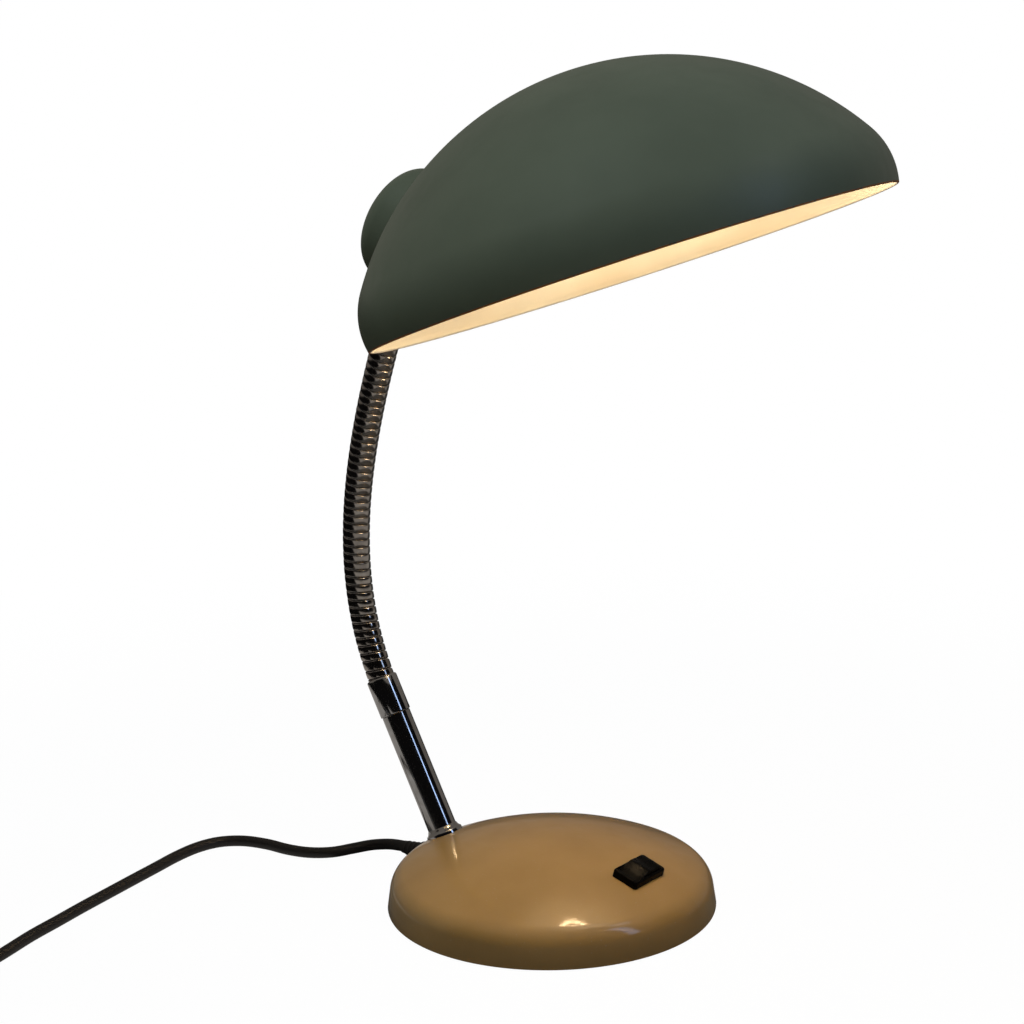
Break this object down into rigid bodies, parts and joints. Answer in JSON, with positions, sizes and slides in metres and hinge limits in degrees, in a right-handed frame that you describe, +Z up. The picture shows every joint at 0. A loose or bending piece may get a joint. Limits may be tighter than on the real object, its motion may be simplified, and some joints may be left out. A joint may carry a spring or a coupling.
{
  "type": "gooseneck desk lamp",
  "caption": "Desk lamp with a spun dome shade on a ribbed gooseneck, standing on a round weighted base with a rocker switch.",
  "frame": {"origin": "centre of the felt pad's underside, on the table, in the middle of the round base", "axes": "+Z up, +X towards the front, where the switch and the shade are, +Y to the lamp's left"},
  "size_m": [0.5079, 0.4537, 0.459],
  "materials": {
    "base_enamel": "satin bronze enamel",
    "shade_enamel": "satin dark olive grey enamel, cream inside",
    "cup_enamel": "satin dark olive grey enamel",
    "chrome": "polished",
    "neck_chrome": "polished ribs with dark grooves",
    "iron": "rough casting",
    "steel": "plain",
    "felt": "pressed felt",
    "brass": "plain",
    "switch_plastic": "smooth",
    "holder_plastic": "moulded",
    "clamp_plastic": "moulded",
    "block_plastic": "moulded",
    "bulb_glass": "opal",
    "cap_metal": "plain",
    "wire_sheath": "extruded",
    "cord_sheath": "smooth",
    "plug_plastic": "moulded"
  },
  "bodies": {
    "base": {"base_shell": "base_enamel", "base_weight": "iron", "base_plate": "steel", "base_pad": "felt", "plate_screws": "steel", "switch_housing": "switch_plastic", "switch_terminals": "brass", "stem_collar": "chrome", "stem_tube": "chrome", "stem_nipple": "brass", "stem_washer": "steel", "stem_nut": "steel", "lower_ferrule": "chrome", "cord_bushing": "cord_sheath", "inner_lead": "cord_sheath", "cord_clamp": "clamp_plastic", "clamp_screws": "steel", "terminal_block": "block_plastic", "base_wires": "wire_sheath", "cord": "cord_sheath", "cord_coil": "cord_sheath", "cord_tail": "cord_sheath", "plug_body": "plug_plastic", "plug_pins": "steel"},
    "rocker": {"switch_rocker": "switch_plastic"},
    "link_1": {"neck_link_1": "neck_chrome"},
    "link_2": {"neck_link_2": "neck_chrome"},
    "link_3": {"neck_link_3": "neck_chrome"},
    "link_4": {"neck_link_4": "neck_chrome"},
    "link_5": {"neck_link_5": "neck_chrome"},
    "link_6": {"neck_link_6": "neck_chrome"},
    "link_7": {"neck_link_7": "neck_chrome"},
    "link_8": {"neck_link_8": "neck_chrome"},
    "link_9": {"neck_link_9": "neck_chrome"},
    "link_10": {"neck_link_10": "neck_chrome"},
    "link_11": {"neck_link_11": "neck_chrome"},
    "head": {"neck_link_12": "neck_chrome", "upper_ferrule": "chrome", "neck_nipple": "brass", "neck_washer": "steel", "neck_nut": "steel", "rear_cup": "cup_enamel", "cup_screws": "steel", "shade": "shade_enamel", "holder_body": "holder_plastic", "holder_contacts": "brass", "shade_ring": "holder_plastic", "bulb_glass": "bulb_glass", "bulb_cap": "cap_metal", "head_wires": "wire_sheath"}
  },
  "joints": [
    {"name": "rocker_tilt", "type": "hinge", "parent": "base", "child": "rocker", "pos_m": [0.05837, 0, 0.03167], "axis": [0.9523, 0, -0.3053], "range_deg": [-18, 0]},
    {"name": "neck_bend_1", "type": "hinge", "parent": "base", "child": "link_1", "pos_m": [-0.11973, 0, 0.10915], "axis": [0, 1, 0], "range_deg": [-16.7, 5.3]},
    {"name": "neck_lean_2", "type": "hinge", "parent": "link_1", "child": "link_2", "pos_m": [-0.12641, 0, 0.12586], "axis": [0.9486, 0, 0.3165], "range_deg": [-8.5, 8.5]},
    {"name": "neck_bend_3", "type": "hinge", "parent": "link_2", "child": "link_3", "pos_m": [-0.1311, 0, 0.14324], "axis": [0, 1, 0], "range_deg": [-17.4, 4.6]},
    {"name": "neck_lean_4", "type": "hinge", "parent": "link_3", "child": "link_4", "pos_m": [-0.13382, 0, 0.16104], "axis": [0.9949, 0, 0.1011], "range_deg": [-8.5, 8.5]},
    {"name": "neck_bend_5", "type": "hinge", "parent": "link_4", "child": "link_5", "pos_m": [-0.13473, 0, 0.17901], "axis": [0, 1, 0], "range_deg": [-16.3, 5.7]},
    {"name": "neck_lean_6", "type": "hinge", "parent": "link_5", "child": "link_6", "pos_m": [-0.13398, 0, 0.197], "axis": [0.9966, 0, -0.0828], "range_deg": [-8.5, 8.5]},
    {"name": "neck_bend_7", "type": "hinge", "parent": "link_6", "child": "link_7", "pos_m": [-0.13176, -0.00008, 0.21486], "axis": [0, 1, 0], "range_deg": [-14.9, 7.1]},
    {"name": "neck_lean_8", "type": "hinge", "parent": "link_7", "child": "link_8", "pos_m": [-0.12832, -0.00023, 0.23253], "axis": [0.9761, 0, -0.2173], "range_deg": [-8.5, 8.5]},
    {"name": "neck_bend_9", "type": "hinge", "parent": "link_8", "child": "link_9", "pos_m": [-0.12394, -0.00046, 0.24998], "axis": [0, 1, 0], "range_deg": [-13.6, 8.4]},
    {"name": "neck_lean_10", "type": "hinge", "parent": "link_9", "child": "link_10", "pos_m": [-0.11876, -0.00076, 0.26722], "axis": [0.9519, 0, -0.3065], "range_deg": [-8.5, 8.5]},
    {"name": "neck_bend_11", "type": "hinge", "parent": "link_10", "child": "link_11", "pos_m": [-0.1129, -0.00113, 0.28424], "axis": [0, 1, 0], "range_deg": [-12.5, 9.5]},
    {"name": "neck_lean_12", "type": "hinge", "parent": "link_11", "child": "head", "pos_m": [-0.1066, -0.00157, 0.30109], "axis": [0.9333, 0, -0.3592], "range_deg": [-8.5, 8.5]}
  ]
}
